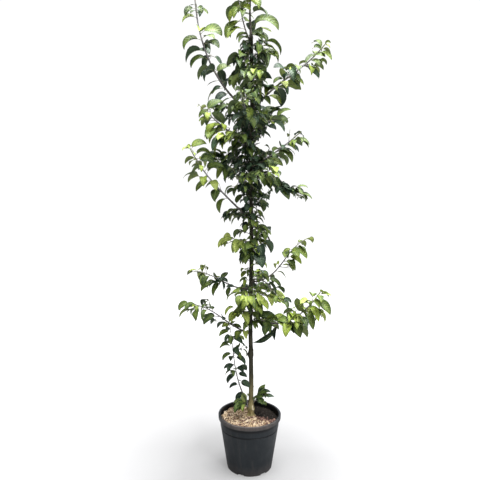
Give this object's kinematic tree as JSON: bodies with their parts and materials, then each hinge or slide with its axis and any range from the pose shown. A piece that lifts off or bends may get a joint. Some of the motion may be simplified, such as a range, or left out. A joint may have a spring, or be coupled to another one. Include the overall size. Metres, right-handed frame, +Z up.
{
  "type": "potted evereste crabapple",
  "caption": "Young container-grown crabapple tree: a slender upright trunk with an open leafy crown, in a round charcoal nursery pot topped with wood chips.",
  "frame": {"origin": "centre of the pot's flat underside, on the surface that the pot stands on", "axes": "+Z up along the trunk, +X to the right and -Y towards the viewer of the reference picture"},
  "size_m": [0.6491, 0.5208, 2.223],
  "materials": {
    "pot_plastic": "satin",
    "compost": "matte",
    "wood_chips": "matte",
    "bark": "matte",
    "leaf_dark": "satin",
    "leaf_green": "satin",
    "leaf_fresh": "satin",
    "leaf_lime": "satin"
  },
  "bodies": {
    "root": {"bough_drooping_right": "bark", "bough_high_back": "bark", "bough_high_front": "bark", "bough_high_left": "bark", "bough_high_right": "bark", "bough_leader": "bark", "bough_leader_left": "bark", "bough_low_back": "bark", "bough_low_left": "bark", "bough_low_right": "bark", "bough_mid_left": "bark", "bough_mid_right": "bark", "bough_sucker": "bark", "bough_top_left": "bark", "bough_top_right": "bark", "bough_upper_left": "bark", "leaves_arching_right": "leaf_green", "leaves_core_back": "leaf_dark", "leaves_core_front": "leaf_dark", "leaves_core_high_back": "leaf_dark", "leaves_core_high_left": "leaf_dark", "leaves_core_left": "leaf_dark", "leaves_core_right": "leaf_dark", "leaves_crest_back": "leaf_fresh", "leaves_crest_front": "leaf_fresh", "leaves_crest_left": "leaf_fresh", "leaves_crest_right": "leaf_fresh", "leaves_drooping_right": "leaf_green", "leaves_foot_left": "leaf_green", "leaves_foot_right": "leaf_dark", "leaves_hanging_front": "leaf_green", "leaves_hanging_low": "leaf_dark", "leaves_high_back": "leaf_dark", "leaves_high_front": "leaf_fresh", "leaves_high_left": "leaf_fresh", "leaves_high_right": "leaf_green", "leaves_leader": "leaf_fresh", "leaves_leader_left": "leaf_fresh", "leaves_lime_left": "leaf_lime", "leaves_lime_low_left": "leaf_lime", "leaves_lime_low_right": "leaf_lime", "leaves_low_back": "leaf_green", "leaves_low_front": "leaf_green", "leaves_low_left": "leaf_green", "leaves_low_right": "leaf_lime", "leaves_mid_left": "leaf_green", "leaves_mid_right": "leaf_green", "leaves_middle_back": "leaf_dark", "leaves_middle_right": "leaf_dark", "leaves_slender_left": "leaf_dark", "leaves_sucker": "leaf_green", "leaves_top_left": "leaf_green", "leaves_top_right": "leaf_fresh", "leaves_upper_back": "leaf_dark", "leaves_upper_left": "leaf_fresh", "leaves_upper_right": "leaf_fresh", "pot": "pot_plastic", "soil": "compost", "trunk": "bark", "wood_chips": "wood_chips"}
  },
  "joints": []
}
